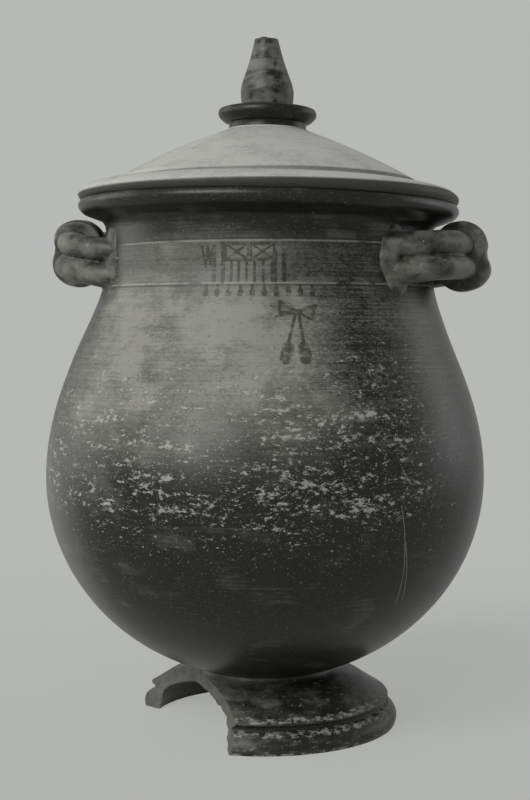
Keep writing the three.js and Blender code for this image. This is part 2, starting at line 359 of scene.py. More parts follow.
# Grains of the finishes: size round the pot and upwards in millimetres, detail and roughness.
# Ranges run from where an effect starts to where it is full, heights in millimetres. Gains and
# shares say how much an effect counts.
BODY_WIPES = (60, 1.1, 5.0, 0.6)
BODY_CLOUDS = (34, 22, 4.0, 0.6)
BODY_FINE = (1.6, 0.8, 3.0, 0.6)
BODY_MOTTLES = (3.4, 1.9, 5.0, 0.7)
# The upper band is partly rubbed glaze and partly a painted highlight, strongest on the side that faces the
# key light
RUBBED_AND_HIGHLIGHT_HEIGHTS = (162, 244)
RUBBED_AND_HIGHLIGHT_RIM = (306, 319)
RUBBED_AND_HIGHLIGHT_RIM_CUT = 0.94
RUBBED_AND_HIGHLIGHT_NECK = (262, 300)
RUBBED_AND_HIGHLIGHT_NECK_CUT = 0.5
LIT_SIDE_TURN = 0.42
HIGHLIGHT_SIDE = (0.6, 1.0)
HIGHLIGHT_SIDE_GAINS = (0.1, 0.95)
CLOUD_RANGE = (0.3, 0.7)
CLOUD_GAINS = (0.5, 0.8)
WIPE_GAIN = 0.9
LOW_WEAR = (0.72, 1.0)
LOW_WEAR_WIPES = 0.4
# Painted reflection of the pale backdrop along the lower left edge of the belly: its turns to the left and
# the heights where it fades
LEFT_EDGE_REFLECTION = (0.75, 1.35)
LEFT_EDGE_REFLECTION_TOP = (150, 230)
MOTTLE_GAIN = 0.9
MOTTLE_BELOW = 0.15
FINE_GAIN = 0.7
FINE_BELOW = 0.2
WEAR_HIGHLIGHT_AND_REFLECTION_GAINS = (1, 0.25, 0.6)
RUBBED_AND_PAINTED_LIGHT_TONE = 1.7


def body_rubbing_and_painted_light(finish, turn, side, wipes, fine):
    """How thin the glaze of the body is rubbed, in horizontal wipes left by the wheel, with a painted
    highlight on the upper side that faces the key light and a painted reflection along the lower left edge
    """
    z = finish.z
    clouds = finish.grain(*BODY_CLOUDS)
    upper = finish.step(z, *RUBBED_AND_HIGHLIGHT_HEIGHTS) * (1 - finish.step(z, *RUBBED_AND_HIGHLIGHT_RIM) * RUBBED_AND_HIGHLIGHT_RIM_CUT)
    upper = upper * (1 - finish.step(z, *RUBBED_AND_HIGHLIGHT_NECK) * RUBBED_AND_HIGHLIGHT_NECK_CUT)
    # Painted highlight: the upper band is made much lighter on the side that faces the key light
    rubbed = upper * weighed(HIGHLIGHT_SIDE_GAINS, 1, finish.step(side, *HIGHLIGHT_SIDE))
    rubbed = rubbed * weighed(CLOUD_GAINS, 1, finish.step(clouds, *CLOUD_RANGE))
    rubbed = rubbed + (wipes - 0.5) * WIPE_GAIN * upper
    low_wear = finish.step(clouds + wipes * LOW_WEAR_WIPES, *LOW_WEAR)
    # Painted reflection: the lower left edge of the belly made lighter, as the glaze there mirrors the pale
    # backdrop
    edge = finish.step(-turn, *LEFT_EDGE_REFLECTION) * (1 - finish.step(z, *LEFT_EDGE_REFLECTION_TOP))
    mottled = (finish.grain(*BODY_MOTTLES) - 0.5) * MOTTLE_GAIN * (MOTTLE_BELOW + upper)
    speckled = (fine - 0.5) * FINE_GAIN * (FINE_BELOW + upper)
    return (weighed(WEAR_HIGHLIGHT_AND_REFLECTION_GAINS, rubbed, low_wear, edge) + mottled + speckled).held()


FLAKES = (4.2, 2.4, 8.0, 0.78)
FLAKE_PATCHES = (26, 5.5, 3.0, 0.6)
FLAKE_HEIGHTS = (100, 165)
FLAKE_FADE = (200, 310)
FLAKE_FADE_CUT = 0.85
FLAKE_SIDE = (-0.2, 0.8)
FLAKE_SIDE_GAINS = (0.4, 0.6)
FLAKE_LEVEL = 0.69
FLAKE_ZONE_DROP = 0.13
FLAKE_PATCH_DROP = 0.42
FLAKE_RISE = (40, 300)
FLAKE_RISE_DROP = 0.012
FLAKE_EDGE = 0.012
SPECKS = (1.5, 1.1, 3.0, 0.6)
SPECK_RANGE = (0.63, 0.68)
SPECK_GAINS = (0.22, 0.6)


def body_flaking(finish, side):
    """Flakes down to the clay, thick round the belly, and the flakes with their fine specks"""
    z = finish.z
    zone = finish.step(z, *FLAKE_HEIGHTS) * (1 - finish.step(z, *FLAKE_FADE) * FLAKE_FADE_CUT)
    zone = zone * weighed(FLAKE_SIDE_GAINS, 1, finish.step(side, *FLAKE_SIDE))
    patches = (finish.grain(*FLAKE_PATCHES) - 0.5) * FLAKE_PATCH_DROP * zone
    rise = finish.step(z, *FLAKE_RISE) * FLAKE_RISE_DROP
    level = FLAKE_LEVEL - zone * FLAKE_ZONE_DROP - patches - rise
    flaked = finish.step(finish.grain(*FLAKES) - level, 0.0, FLAKE_EDGE)
    specks = finish.step(finish.grain(*SPECKS), *SPECK_RANGE)
    return flaked, flaked.top(specks * weighed(SPECK_GAINS, 1, zone))


NECK_MM = 107
BELLY_MM = 144
CLAY_TONES = (9, 7)
CLAY_SHADE = 0.62
WORN_SHARE = 0.7
PAINT_GRAIN = (5, 3, 5.0, 0.65)
PAINT_WORN = (0.47, 0.66)
PAINT_WORN_SHARE = 0.8
PAINT_SHARE = 0.74
LINE_GRAIN = (14, 6, 3.0, 0.6)
LINE_BREAKS = (0.35, 0.5)
PALE_LINES = ((312.2, 287.3), 0.35, 0.3)
PALE_LINE_SHARE = 0.26
DARK_LINES = ((313.5, 286.1), 0.4, 0.4)
DARK_LINE_SHARE = 0.5
SCRATCHES = (((84, 158), (99, 96), 0.28), ((88, 140), (104, 98), 0.25))
SCRATCH_SHARE = 0.3
BODY_ROUGHNESS = (0.33, 0.2, 0.3)
BODY_RELIEF = (0.6, 0.35, 0.16)
BODY_RELIEF_DEPTH = 0.35


def body_finish(colours):
    """Dark glaze rubbed thin above and flaked round the belly, with painted ornament, a painted highlight on
    the upper left and a painted reflection along the lower left edge
    """
    finish = Finish("dark_flaked_glaze")
    z, turn = finish.z, finish.turn()
    # side is 1 on the side of the pot that faces the key light
    side = (turn + LIT_SIDE_TURN).math("COSINE")
    wipes = finish.grain(*BODY_WIPES)
    fine = finish.grain(*BODY_FINE)
    # rubbed holds the rubbed glaze together with the painted highlight and the painted reflection
    rubbed = body_rubbing_and_painted_light(finish, turn, side, wipes, fine)
    base = finish.mix(rubbed, colours.glaze, shade(colours.thin_glaze, RUBBED_AND_PAINTED_LIGHT_TONE))
    flaked, worn = body_flaking(finish, side)
    tone = finish.mix(finish.grain(*CLAY_TONES), colours.clay, shade(colours.clay, CLAY_SHADE))
    base = finish.mix(worn * WORN_SHARE, base, tone)
    paint = ornament(turn * NECK_MM, z)
    paint = paint * (1 - finish.step(finish.grain(*PAINT_GRAIN), *PAINT_WORN) * PAINT_WORN_SHARE)
    base = finish.mix(paint * PAINT_SHARE, base, colours.glaze)
    lines = finish.bands(z, *PALE_LINES) * finish.step(finish.grain(*LINE_GRAIN), *LINE_BREAKS)
    base = finish.mix(finish.bands(z, *DARK_LINES) * DARK_LINE_SHARE, base, colours.glaze)
    base = finish.mix(lines * PALE_LINE_SHARE, base, colours.clay)
    marks = painted([stroke(turn * BELLY_MM, z, *scratch) for scratch in SCRATCHES])
    base = finish.mix(marks * SCRATCH_SHARE, base, colours.clay)
    relief = weighed(BODY_RELIEF, 1 - flaked, wipes, fine)
    return finish.shine(base, weighed(BODY_ROUGHNESS, 1, rubbed, worn), relief, BODY_RELIEF_DEPTH)


HANDLE_CLOUDS = (16, 12, 5.0, 0.6)
HANDLE_FINE = (1.8, 1.4, 4.0, 0.65)
HANDLE_CLOUD_RANGE = (0.35, 0.68)
HANDLE_PROUD = (0.47, 0.56)
HANDLE_RUBBED_GAINS = (0.85, 0.3, 0.5)
HANDLE_SHADE = 1.15
HANDLE_FLAKES = (3.6, 3.0, 5.0, 0.62)
HANDLE_FLAKE_RANGE = (0.66, 0.69)
HANDLE_FLAKE_SHARE = 0.7
HANDLE_ROUGHNESS = (0.36, 0.22, 0.2)
HANDLE_RELIEF = (0.5, 0.5, 0.6)
HANDLE_RELIEF_DEPTH = 0.3


def luted_finish(colours):
    """Glaze of the handles, rubbed thin in patches, lighter on their proud parts and darker in the creases"""
    finish = Finish("rubbed_handle_glaze")
    clouds = finish.grain(*HANDLE_CLOUDS)
    fine = finish.grain(*HANDLE_FINE)
    # Lighter on proud, convex parts and darker in the creases between them
    lift = Value(finish.node("ShaderNodeNewGeometry").outputs["Pointiness"])
    rubbed = weighed(HANDLE_RUBBED_GAINS, finish.step(clouds, *HANDLE_CLOUD_RANGE),
                     finish.step(lift, *HANDLE_PROUD), fine - 0.5).held()
    base = finish.mix(rubbed, colours.glaze, shade(colours.thin_glaze, HANDLE_SHADE))
    flaked = finish.step(finish.grain(*HANDLE_FLAKES), *HANDLE_FLAKE_RANGE)
    base = finish.mix(flaked * HANDLE_FLAKE_SHARE, base, colours.clay)
    relief = weighed(HANDLE_RELIEF, fine, 1 - flaked, clouds)
    return finish.shine(base, weighed(HANDLE_ROUGHNESS, 1, rubbed, flaked), relief, HANDLE_RELIEF_DEPTH)


FOOT_CLOUDS = (18, 6, 5.0, 0.62)
FOOT_FINE = (1.8, 1.2, 4.0, 0.65)
FOOT_SOUND_SIDE = (-0.9, 0.5)
FOOT_BROKEN_GAIN = 0.22
FOOT_RUBBED = (0.42, 0.85)
FOOT_RUBBED_GAINS = (0.8, 0.4)
# Painted shade in the groove under the ridge: its height band and how much less rubbed it is kept
FOOT_GROOVE_SHADE_BAND = (15, 2.0, 1.4)
FOOT_GROOVE_SHADE_CUT = 0.85
FOOT_EDGES = ((11.8, 19.6), (0.9, 0.8), 1.2)
FOOT_STANDING_EDGE = (0.6, 3.2)
FOOT_WEAR = (4.5, 1.8, 6.0, 0.7)
FOOT_EDGE_GAIN = 0.13
FOOT_WEAR_RANGE = (0.58, 0.7)
FOOT_WEAR_SHARE = 0.42
FOOT_ROUGHNESS = (0.4, 0.25)
FOOT_RELIEF = (0.5, 0.6)
FOOT_RELIEF_DEPTH = 0.35


def foot_finish(colours):
    """Dark glaze of the foot, worn to clay along its mouldings, with painted shade in the groove under its
    ridge
    """
    finish = Finish("worn_foot_glaze")
    z = finish.z
    clouds = finish.grain(*FOOT_CLOUDS)
    fine = finish.grain(*FOOT_FINE)
    broken_side = 1 - finish.step(finish.turn(), *FOOT_SOUND_SIDE)
    rubbed = finish.step(clouds + broken_side * FOOT_BROKEN_GAIN, *FOOT_RUBBED)
    rubbed = weighed(FOOT_RUBBED_GAINS, rubbed, fine - 0.5)
    # Painted shade: the groove under the ridge is kept dark, as if in shadow
    rubbed = rubbed * (1 - finish.band(z, *FOOT_GROOVE_SHADE_BAND) * FOOT_GROOVE_SHADE_CUT)
    base = finish.mix(rubbed.held(), colours.glaze, colours.thin_glaze)
    heights, halves, soft = FOOT_EDGES
    edges = 1 - finish.step(z, *FOOT_STANDING_EDGE)
    for height, half in zip(heights, halves):
        edges = edges.top(finish.band(z, height, half, soft))
    wear = finish.step(finish.grain(*FOOT_WEAR) + edges * FOOT_EDGE_GAIN, *FOOT_WEAR_RANGE)
    base = finish.mix(wear * FOOT_WEAR_SHARE, base, colours.clay)
    relief = weighed(FOOT_RELIEF, fine, 1 - wear)
    return finish.shine(base, weighed(FOOT_ROUGHNESS, 1, wear), relief, FOOT_RELIEF_DEPTH)


BREAK_GRIT = (1.5, 1.5, 6.0, 0.7)
BREAK_STAINS = (9, 9, 3.0, 0.6)
BREAK_SHADES = (0.1, 0.36)
BREAK_ROUGHNESS = (0.85, 0.1)
BREAK_RELIEF_DEPTH = 0.9


def fracture_finish(colours):
    """Rough clay inside a break"""
    finish = Finish("broken_clay")
    grit = finish.grain(*BREAK_GRIT)
    dark, light = BREAK_SHADES
    base = finish.mix(finish.grain(*BREAK_STAINS), shade(colours.clay, dark), shade(colours.clay, light))
    return finish.shine(base, weighed(BREAK_ROUGHNESS, 1, grit), grit, BREAK_RELIEF_DEPTH)


LID_RINGS_PER_MM = 0.55
LID_RING_DETAIL = 5.0
LID_CLOUDS = (22, 22, 5.0, 0.6)
LID_GRIT = (2.6, 1.2, 4.0, 0.6)
LID_STAIN_GAINS = (0.7, 0.28, 0.5)
LID_STAINS = (0.42, 0.74)
LID_STAIN_SHADE = 0.68
LID_SPECKS = (2.2, 1.1, 3.0, 0.6)
LID_SPECK_RANGE = (0.66, 0.7)
LID_SPECK_SHARE = 0.55
LID_SPECK_SHADE = 0.3
# Painted shade in the step between the brim and the dome: its height, its radii and how dark it is
LID_STEP_SHADE_BAND = (355.2, 0.9, 0.8)
LID_STEP_SHADE_RADII = (94, 97)
LID_STEP_SHADE_SHARE = 0.55
LID_EDGE_TOP = (346.4, 348.2)
LID_EDGE_SHARE = 0.93
LID_ROUGHNESS = (0.52, 0.12)
LID_RELIEF = (0.6, 0.35)
LID_RELIEF_DEPTH = 0.3


def lid_finish(colours):
    """Pale clay of the lid, ringed by the wheel and speckled, darker below the top of its brim, with painted
    shade in the step at the dome's foot
    """
    finish = Finish("pale_ringed_clay")
    z, radius = finish.z, finish.radius()
    rings = Value(finish.node("ShaderNodeTexNoise", {"noise_dimensions": "1D"},
                              {"W": radius, "Scale": LID_RINGS_PER_MM,
                               "Detail": LID_RING_DETAIL}).outputs[0])
    grit = finish.grain(*LID_GRIT)
    stained = weighed(LID_STAIN_GAINS, finish.grain(*LID_CLOUDS), rings, grit - 0.5)
    stained = finish.step(stained, *LID_STAINS)
    base = finish.mix(stained, colours.lid_clay, shade(colours.lid_clay, LID_STAIN_SHADE))
    specks = finish.step(finish.grain(*LID_SPECKS), *LID_SPECK_RANGE)
    base = finish.mix(specks * LID_SPECK_SHARE, base, shade(colours.lid_clay, LID_SPECK_SHADE))
    # Painted shade: a dark line in the step between the brim and the dome, where the step falls in shadow
    step = finish.band(z, *LID_STEP_SHADE_BAND) * finish.step(radius, *LID_STEP_SHADE_RADII)
    base = finish.mix(step * LID_STEP_SHADE_SHARE, base, colours.glaze)
    # Darker below the top of the brim
    dark_below_brim_top = 1 - finish.step(z, *LID_EDGE_TOP)
    base = finish.mix(dark_below_brim_top * LID_EDGE_SHARE, base, colours.glaze)
    return finish.shine(base, weighed(LID_ROUGHNESS, 1, stained), weighed(LID_RELIEF, rings, grit),
                        LID_RELIEF_DEPTH)


KNOB_CLOUDS = (9, 5, 5.0, 0.6)
KNOB_FINE = (1.6, 1.0, 4.0, 0.6)
KNOB_FINIAL_START = (1, 3)
KNOB_FINIAL_GAIN = 0.14
KNOB_RUBBED = (0.5, 0.8)
KNOB_RUBBED_GAINS = (0.3, 0.5)
KNOB_FINE_GAIN = 0.25
FINIAL_BAND = (431.5, 3.2, 0.8)
COLLAR_BAND = (407, 1.2, 0.8)
KNOB_BAND_WORN = (0.35, 0.6)
KNOB_BAND_GAINS = (0.6, 0.4)
KNOB_STREAK = (6.5, 0.9, 0.8)
KNOB_BAND_SHARES = (0.6, -0.5)
KNOB_BAND_SHADE = 0.4
KNOB_CHIPS = (0.66, 0.7)
KNOB_CHIP_SHARE = 0.4
KNOB_TIP = (-2.2, -1.0)
KNOB_TIP_SHARE = 0.6
KNOB_TIP_SHADE = 0.12
KNOB_ROUGHNESS = (0.36, 0.15, 0.15, 0.2)
KNOB_RELIEF = (0.4, 0.5)
KNOB_RELIEF_DEPTH = 0.3


def knob_finish(colours):
    """Dark glaze of the knob with two bands left pale and a bare broken tip"""
    finish = Finish("banded_knob_glaze")
    z = finish.z
    clouds = finish.grain(*KNOB_CLOUDS)
    fine = finish.grain(*KNOB_FINE)
    on_finial = finish.step(z, *[FINIAL_LOW.z / MM + height for height in KNOB_FINIAL_START])
    rubbed = finish.step(clouds + on_finial * KNOB_FINIAL_GAIN, *KNOB_RUBBED)
    rubbed = rubbed * weighed(KNOB_RUBBED_GAINS, 1, on_finial)
    rubbed = (rubbed + (fine - 0.5) * KNOB_FINE_GAIN * on_finial).held()
    base = finish.mix(rubbed, colours.glaze, colours.thin_glaze)
    bands = finish.band(z, *FINIAL_BAND).top(finish.band(z, *COLLAR_BAND))
    bands = bands * weighed(KNOB_BAND_GAINS, 1, finish.step(clouds, *KNOB_BAND_WORN))
    streak = finish.band(weighed(TO_RIGHT, finish.x, finish.y), *KNOB_STREAK)
    base = finish.mix(bands * weighed(KNOB_BAND_SHARES, 1, streak), base,
                      shade(colours.lid_clay, KNOB_BAND_SHADE))
    base = finish.mix(finish.step(fine, *KNOB_CHIPS) * KNOB_CHIP_SHARE, base, colours.clay)
    tip = finish.step(z, *[FINIAL_HIGH.z / MM + height for height in KNOB_TIP])
    base = finish.mix(tip * KNOB_TIP_SHARE, base, shade(colours.clay, KNOB_TIP_SHADE))
    return finish.shine(base, weighed(KNOB_ROUGHNESS, 1, bands, rubbed, tip),
                        weighed(KNOB_RELIEF, fine, clouds), KNOB_RELIEF_DEPTH)


STAGE_NEAR_TO_FAR = (180, 700)
STAGE_DUST = (60, 60, 5.0, 0.6)
STAGE_DUST_RANGE = (0.35, 0.8)
STAGE_DUST_SHADE = 0.97
STAGE_PLAIN = (0.475, 0.485, 0.472, 1)
STAGE_PLAIN_SHARES = (0.74, 0.26)


def stage_finish(colours):
    """Pale floor that keeps shadows near the pot and is plain further away"""
    finish = Finish("pale_stage")
    far = finish.step(finish.radius(), *STAGE_NEAR_TO_FAR)
    rays = finish.node("ShaderNodeLightPath").outputs
    seen = Value(rays["Is Camera Ray"]) + Value(rays["Is Glossy Ray"]) + Value(rays["Is Transmission Ray"])
    dust = finish.step(finish.grain(*STAGE_DUST), *STAGE_DUST_RANGE)
    base = finish.mix(dust, colours.stage, shade(colours.stage, STAGE_DUST_SHADE))
    lit = finish.node("ShaderNodeBsdfDiffuse", {}, {"Color": base})
    plain = finish.node("ShaderNodeEmission", {}, {"Color": STAGE_PLAIN, "Strength": 1.0})
    share = weighed(STAGE_PLAIN_SHARES, 1, far) * seen.held()
    surface = finish.node("ShaderNodeMixShader", {}, {0: share, 1: lit.outputs[0], 2: plain.outputs[0]})
    finish.node("ShaderNodeOutputMaterial", {}, {"Surface": surface.outputs[0]})
    return finish.material


def run(*curves):
    """Points of several curves laid end to end"""
    points = []
    for curve in curves:
        for point in curve:
            if not points or math.dist(points[-1], point) > SAME_POINT:
                points.append(point)
    return points


def arc(middle, radii, start, end, steps):
    """Points of an elliptic arc between two angles in degrees"""
    angles = [math.radians(start + (end - start) * i / steps) for i in range(steps + 1)]
    return [(middle[0] + radii[0] * math.cos(a), middle[1] + radii[1] * math.sin(a)) for a in angles]


def bend(points, steps):
    """Bezier curve through the first and last of its points"""
    order = len(points) - 1
    curve = []
    for i in range(steps + 1):
        t = i / steps
        shares = [math.comb(order, k) * t ** k * (1 - t) ** (order - k) for k in range(order + 1)]
        curve.append(tuple(sum(s * p[axis] for s, p in zip(shares, points)) for axis in (0, 1)))
    return curve


def straight(start, end, steps):
    """Evenly spaced points of a straight line"""
    return bend([start, end], steps)


def new_object(name, vertices, faces):
    """A piece made of these points and faces"""
    mesh = bpy.data.meshes.new(name)
    mesh.from_pydata(vertices, [], faces)
    mesh.update()
    piece = bpy.data.objects.new(name, mesh)
    bpy.context.scene.collection.objects.link(piece)
    return piece


def turned(name, outline, sides):
    """Solid of revolution from (radius, height) points that start and end on the axis, or close"""
    vertices = []
    rings = []
    for radius, height in outline:
        count = 1 if radius < TINY else sides
        rings.append(range(len(vertices), len(vertices) + count))
        for i in range(count):
            angle = 2 * math.pi * i / sides
            vertices.append((radius * math.cos(angle), radius * math.sin(angle), height))
    closed = len(rings[0]) > 1
    faces = []
    for index in range(len(rings) - (0 if closed else 1)):
        low, high = rings[index], rings[(index + 1) % len(rings)]
        for i in range(sides):
            j = (i + 1) % sides
            ring = [low[i % len(low)], low[j % len(low)], high[j % len(high)], high[i % len(high)]]
            faces.append(list(dict.fromkeys(ring)))
    return new_object(name, vertices, faces)


def closed_tube(name, vertices, count):
    """Solid of rings of count points each, closed at both ends"""
    rings = len(vertices) // count
    faces = [list(range(count)), list(range((rings - 1) * count, rings * count))]
    for row in range(0, (rings - 1) * count, count):
        for i in range(count):
            j = (i + 1) % count
            faces.append([row + i, row + j, row + count + j, row + count + i])
    return new_object(name, vertices, faces)


SHARP_ANGLE = 38
BREAK_SHARP_ANGLE = 32
CLAY_SHARP_ANGLE = 60


def face_out(piece, angle=SHARP_ANGLE):
    """Faces outward, smooth over gentle bends and sharp over edges"""
    shape = bmesh.new()
    shape.from_mesh(piece.data)
    bmesh.ops.recalc_face_normals(shape, faces=shape.faces)
    shape.to_mesh(piece.data)
    shape.free()
    piece.data.polygons.foreach_set("use_smooth", [True] * len(piece.data.polygons))
    piece.data.set_sharp_from_angle(angle=math.radians(angle))
    piece.data.update()


# Unevenness of thrown walls: how often it changes along x, y and z, per metre, and how far it goes
WANDER_RATES = (14, 14, 9)
RING_RATES = (420, 2)
RING_START = 3.1
WANDER = 0.3 * MM
BODY_RINGS = 0.1 * MM
BODY_WANDER = 0.35 * MM
FOOT_RINGS = 0.08 * MM
LID_RINGS = 0.07 * MM
DISC_RINGS = 0.05 * MM
FINIAL_RINGS = 0.06 * MM


def thrown(piece, ring, wander=WANDER):
    """Wheel rings and the slight unevenness of a hand-thrown wall"""
    for vertex in piece.data.vertices:
        place = vertex.co
        out = Vector((place.x, place.y, 0))
        if out.length < 1 * MM:
            continue
        slow = noise.noise(Vector([part * rate for part, rate in zip(place, WANDER_RATES)]))
        rings = noise.noise(Vector((RING_START, place.z * RING_RATES[0], place.x * RING_RATES[1])))
        vertex.co += out.normalized() * (slow * wander + rings * ring)


SETTLE_START = 0.24
SETTLE_SPAN = 0.06
SETTLE_LEAN = math.radians(1)
SETTLE_DRIFT = 2.8 * MM
SETTLE_DRIFT_LOSS = 0.012


def held(share):
    """Kept between 0 and 1"""
    return min(max(share, 0), 1)


def settle(piece):
    """The neck, the handles and the lid dried a little askew"""
    for vertex in piece.data.vertices:
        share = held((vertex.co.z - SETTLE_START) / SETTLE_SPAN)
        share = share * share * (3 - 2 * share)
        aside = vertex.co.dot(TO_RIGHT)
        drift = SETTLE_DRIFT - SETTLE_DRIFT_LOSS * (vertex.co.z - SETTLE_START - SETTLE_SPAN)
        vertex.co.z -= aside * SETTLE_LEAN * share
        vertex.co += TO_RIGHT * drift * share


def applied(piece):
    """The piece with its modifiers made real"""
    bpy.context.view_layer.update()
    mesh = bpy.data.meshes.new_from_object(piece.evaluated_get(bpy.context.evaluated_depsgraph_get()))
    piece.modifiers.clear()
    piece.data = mesh
    return piece


def dressed(piece, body, nodes, finish):
    """The piece with its finish, its body and the solids that it stands for"""
    piece.data.materials.clear()
    piece.data.materials.append(finish)
    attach(piece, body)
    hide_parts(*nodes)
    return piece


BODY_SIDES = 240
BELLY_STEPS = 70
SHOULDER_STEPS = 60
FLOOR_PER_WALL = 10 / 9
SHOULDER_FULLNESS = 60 * MM
NECK_STRAIGHT = 32 * MM
RIM_UNDERCUT = 3.6 * MM
RIM_HOLLOW = 5 * MM
RIM_SLOPE = 0.36
RIM_HOLLOW_FALL = 1.8
RIM_HOLLOW_BEND = 0.3
RIM_BULGE = 2.2 * MM
RIM_EASE = 1.8 * MM
LIP_ROUND = 3 * MM


def body_outline(s, inset):
    """Outside of the body at inset 0, or its inside at the wall's thickness, from the bottom up"""
    belly = s.belly_radius - inset
    neck = s.neck_radius - inset
    floor = inset * FLOOR_PER_WALL
    lower = arc((0, s.belly_height), (belly, s.belly_depth - floor), -90, 0, BELLY_STEPS)
    shoulder = bend([(belly, s.belly_height), (belly, s.belly_height + SHOULDER_FULLNESS),
                     (neck, s.neck_start - NECK_STRAIGHT), (neck, s.neck_start)], SHOULDER_STEPS)
    return lower + shoulder[1:]


def rim_outline(s):
    """From the neck under the rim and round its edge to the top"""
    edge_foot = (s.rim_radius - RIM_UNDERCUT, s.rim_top - s.rim_edge)
    ledge = edge_foot[0] - s.neck_radius - RIM_HOLLOW
    hollow_end = (s.neck_radius + RIM_HOLLOW, edge_foot[1] - ledge * RIM_SLOPE)
    hollow_foot = (s.neck_radius, hollow_end[1] - RIM_HOLLOW * RIM_HOLLOW_FALL)
    return run(
        straight((s.neck_radius, s.neck_start), hollow_foot, 16),
        bend([hollow_foot, (s.neck_radius, hollow_end[1] - RIM_HOLLOW * RIM_HOLLOW_BEND), hollow_end], 10),
        straight(hollow_end, edge_foot, 8),
        bend([edge_foot, (s.rim_radius + RIM_BULGE, s.rim_top - s.rim_edge / 2),
              (s.rim_radius - RIM_EASE, s.rim_top)], 14),
    )


class POT_OT_body(bpy.types.Operator):
    """Makes the thrown body with its neck and rim"""
    bl_idname = "pot.body"
    bl_label = "Body"

    def execute(self, context):
        s = context.scene.pot_sizes
        inside = body_outline(s, s.wall)
        mouth = s.neck_radius - s.wall
        lip = bend([(mouth + LIP_ROUND, s.rim_top), (mouth, s.rim_top), (mouth, s.rim_top - LIP_ROUND)], 5)
        outline = run(body_outline(s, 0), rim_outline(s),
                      straight((s.rim_radius - RIM_EASE, s.rim_top), lip[0], 4), lip,
                      straight(lip[-1], inside[-1], 8), inside[::-1])
        piece = turned("pot_body", outline, BODY_SIDES)
        thrown(piece, BODY_RINGS, BODY_WANDER)
        settle(piece)
        face_out(piece)
        dressed(piece, "pot", ["body"], body_finish(context.scene.pot_colours))
        return {"FINISHED"}


FOOT_SIDES = 220
FOOT_BORE = 36 * MM
FOOT_SEAT_GAP = 0.2 * MM
GROOVE_DEPTH = 2.2 * MM
GROOVE_LIP = 2.9 * MM
GROOVE_ROUND = 1.3 * MM
BASE_BULGE = 3.6 * MM
BASE_BULGE_HEIGHT = 0.6
RIDGE_DROP = 3.4 * MM
RIDGE_BULGE = (1.9 * MM, -2.4 * MM)
RIDGE_FALL = (-7.2 * MM, 4.3 * MM)
STEM_FOOT = (8 * MM, 2.8 * MM)
STEM_EASE = 1.4 * MM
HOLLOW_CROWN = (46 * MM, 25 * MM)
HOLLOW_HAUNCH = (70 * MM, 18 * MM)
HOLLOW_FOOT = (72.4 * MM, 12 * MM)


def beside(point, offset):
    """The point moved by the offset"""
    return (point[0] + offset[0], point[1] + offset[1])


def foot_outline(s):
    """Section of the foot: base roll, groove, ridge, shoulder, stem and the hollow inside"""
    def seat(radius):
        """Point just under the body"""
        drop = s.belly_depth * math.sqrt(1 - (radius / s.belly_radius) ** 2)
        return (radius, s.belly_height - drop - FOOT_SEAT_GAP)
    groove = s.ridge_radius - GROOVE_DEPTH
    groove_foot = (groove, s.groove_height)
    groove_wall = (groove, s.groove_height + GROOVE_ROUND)
    groove_top = (groove, s.ridge_height - RIDGE_DROP)
    member = (groove + GROOVE_LIP, s.groove_height)
    ridge = (s.ridge_radius, s.ridge_height)
    shoulder = (s.shoulder_radius, s.shoulder_height)
    stem_foot = (s.stem_radius + STEM_FOOT[0], s.shoulder_height + STEM_FOOT[1])
    bulge = (s.base_radius + BASE_BULGE, s.groove_height * BASE_BULGE_HEIGHT)
    return run(
        straight((s.base_inner, 0), (s.base_radius, 0), 6),
        bend([(s.base_radius, 0), bulge, member], 16),
        bend([member, groove_foot, groove_wall], 4),
        straight(groove_wall, groove_top, 3),
        bend([groove_top, beside(ridge, RIDGE_BULGE), ridge], 8),
        bend([ridge, beside(ridge, RIDGE_FALL), shoulder], 14),
        straight(shoulder, stem_foot, 6),
        bend([stem_foot, (s.stem_radius, stem_foot[1] + STEM_EASE), seat(s.stem_radius)], 8),
        [seat(s.stem_radius - (s.stem_radius - FOOT_BORE) * i / 4) for i in range(5)],
        bend([seat(FOOT_BORE), (FOOT_BORE, HOLLOW_CROWN[1]), HOLLOW_CROWN], 8),
        bend([HOLLOW_CROWN, HOLLOW_HAUNCH, HOLLOW_FOOT], 12),
        straight(HOLLOW_FOOT, (s.base_inner, 0), 5),
    )[:-1]


# Broken sector of the foot in plan, as (radius in millimetres, angle at the base, angle at the top),
# and its height and roughness in millimetres
BREAK_PLAN = (
    (45.3, -162, -162),
    (61, -179, -180), (75, -183.5, -187), (88.5, -187, -189.5), (106, -190.5, -191),
    (150, -170, -170), (150, -120, -120),
    (104, -86, -78), (87, -92.5, -83), (75, -96.5, -93), (65, -100, -101), (55, -106, -115), (49, -113, -130),
)
BREAK_TOP = 40
BREAK_LEVELS = 30
BREAK_SIDE_STEPS = 14
BREAK_ROUGH = ((0.16, 1.3), (0.55, 0.55))
BREAK_SEED = 7


def broken_sector():
    """Block with rough sides that takes the lost sector out of the foot"""
    noise.seed_set(BREAK_SEED)
    corners = len(BREAK_PLAN)
    vertices = []
    for level in range(BREAK_LEVELS + 1):
        share = level / BREAK_LEVELS
        height = -1 + (BREAK_TOP + 1) * share
        ring = []
        for radius, low, high in BREAK_PLAN:
            angle = math.radians(low + (high - low) * share)
            ring.append(Vector((radius * math.cos(angle), radius * math.sin(angle), height)))
        for i in range(corners):
            for k in range(BREAK_SIDE_STEPS):
                place = ring[i].lerp(ring[(i + 1) % corners], k / BREAK_SIDE_STEPS)
                coarse, fine = [noise.noise_vector(place * rate) * gain for rate, gain in BREAK_ROUGH]
                rough = coarse + fine
                vertices.append((place + Vector((rough.x, rough.y, 0))) * MM)
    return closed_tube("broken_sector", vertices, corners * BREAK_SIDE_STEPS)


